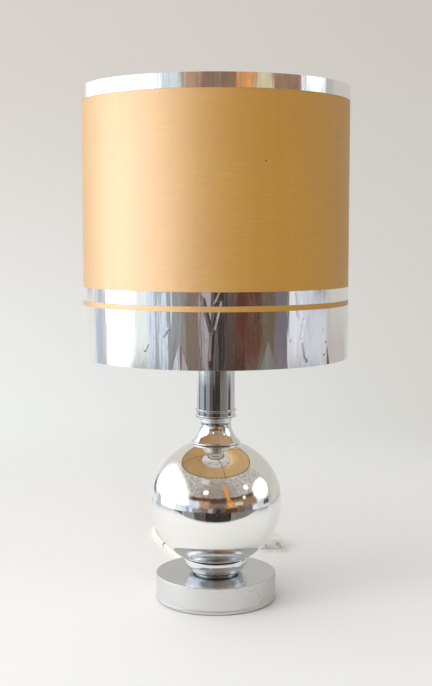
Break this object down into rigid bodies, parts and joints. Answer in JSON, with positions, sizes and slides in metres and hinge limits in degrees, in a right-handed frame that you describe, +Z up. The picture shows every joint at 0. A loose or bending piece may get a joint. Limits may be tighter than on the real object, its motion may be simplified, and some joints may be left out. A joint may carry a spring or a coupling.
{
  "type": "table lamp",
  "caption": "Table lamp with a weighted round chrome base, a mirrored glass globe clamped between cup and flared neck, a short stem and a tall gold drum shade with mirror bands.",
  "frame": {"origin": "on the lamp's axis where the felt under the base meets the table", "axes": "+Z up along the stem, -Y towards the viewer of the picture, +X to the viewer's right; the mains lead leaves the base at the back, 14 degrees left of +Y"},
  "size_m": [0.3, 0.5062, 0.5826],
  "materials": {
    "polished_chrome": "polished chrome plate, a few fine wear marks",
    "mirrored_glass": "silvered inside, bright, with tiny worn specks",
    "cast_iron": "rough black casting",
    "zinc_steel": "zinc plated, dull bright",
    "felt": "black felt",
    "rubber": "black rubber",
    "holder_resin": "moulded white resin, satin",
    "porcelain": "glazed white porcelain",
    "contact_brass": "bare brass",
    "bulb_glass": "clear thin glass",
    "bulb_cap_metal": "bright rolled metal",
    "black_glass": "black glass insulator",
    "filament_wire": "drawn grey wire",
    "frame_wire": "drawn grey wire, dull",
    "gold_fabric": "gold satin with a fine cross weave",
    "shade_lining": "ochre laminated lining",
    "mirror_foil": "bright foil with soft vertical creases",
    "lead_sheath": "pale cream flexible sheath",
    "ivory_resin": "moulded ivory resin, satin"
  },
  "bodies": {
    "root": {"base_shell": "polished_chrome", "base_weight": "cast_iron", "base_plate": "zinc_steel", "base_felt": "felt", "rod_washer": "zinc_steel", "rod_nut": "zinc_steel", "rod": "zinc_steel", "foot_disc": "polished_chrome", "globe_cup": "polished_chrome", "lower_seat": "rubber", "globe": "mirrored_glass", "neck_bell": "polished_chrome", "upper_seat": "rubber", "neck_ring": "polished_chrome", "tube_collar": "polished_chrome", "neck_tube": "polished_chrome", "tube_cap": "polished_chrome", "tube_nut": "zinc_steel", "holder_cap": "holder_resin", "holder_core": "porcelain", "holder_terminals": "contact_brass", "holder_screw_shell": "contact_brass", "holder_tongue": "contact_brass", "holder_skirt": "holder_resin", "shade_ring_lower": "holder_resin", "shade_ring_upper": "holder_resin", "lead_bush": "rubber", "lead_sheath": "lead_sheath", "lead_clamp": "zinc_steel", "clamp_screws": "zinc_steel", "lead_cores": "rubber", "lead_coil": "lead_sheath", "lead_first": "lead_sheath", "lead_second": "lead_sheath", "lead_last": "lead_sheath", "switch_base": "ivory_resin", "switch_cover": "ivory_resin", "rocker_pin": "zinc_steel", "switch_terminals": "contact_brass", "switch_screws": "zinc_steel", "plug_body": "ivory_resin", "plug_pins": "zinc_steel"},
    "shade": {"bottom_ring": "frame_wire", "top_ring": "frame_wire", "fitter": "frame_wire", "spokes": "frame_wire", "shade_liner": "shade_lining", "shade_fabric": "gold_fabric", "band_wide": "mirror_foil", "band_narrow": "mirror_foil", "band_top": "mirror_foil"},
    "bulb_rise": {"bulb_contact": "contact_brass"},
    "bulb": {"bulb_glass": "bulb_glass", "bulb_cap": "bulb_cap_metal", "bulb_insulator": "black_glass", "bulb_stem": "bulb_glass", "bulb_filament": "filament_wire"},
    "rocker": {"switch_rocker": "ivory_resin"}
  },
  "joints": [
    {"name": "shade_turn", "type": "hinge", "parent": "root", "child": "shade", "pos_m": [0, 0, 0.3125], "axis": [0, 0, 1], "continuous": true},
    {"name": "bulb_rise", "type": "slide", "parent": "root", "child": "bulb_rise", "axis": [0, 0, 1], "range_m": [0, 0.0236]},
    {"name": "bulb_turn", "type": "hinge", "parent": "bulb_rise", "child": "bulb", "pos_m": [0, 0, 0.33], "axis": [0, 0, 1], "range_deg": [0, 2345]},
    {"name": "rocker_tilt", "type": "hinge", "parent": "root", "child": "rocker", "pos_m": [-0.02128, 0.34244, 0.0116], "axis": [-0.1392, 0.9903, 0], "range_deg": [0, 14]}
  ],
  "couplings": [
    {"joint": "bulb_turn", "follows": "bulb_rise", "rad_per_m": 1731.5}
  ]
}
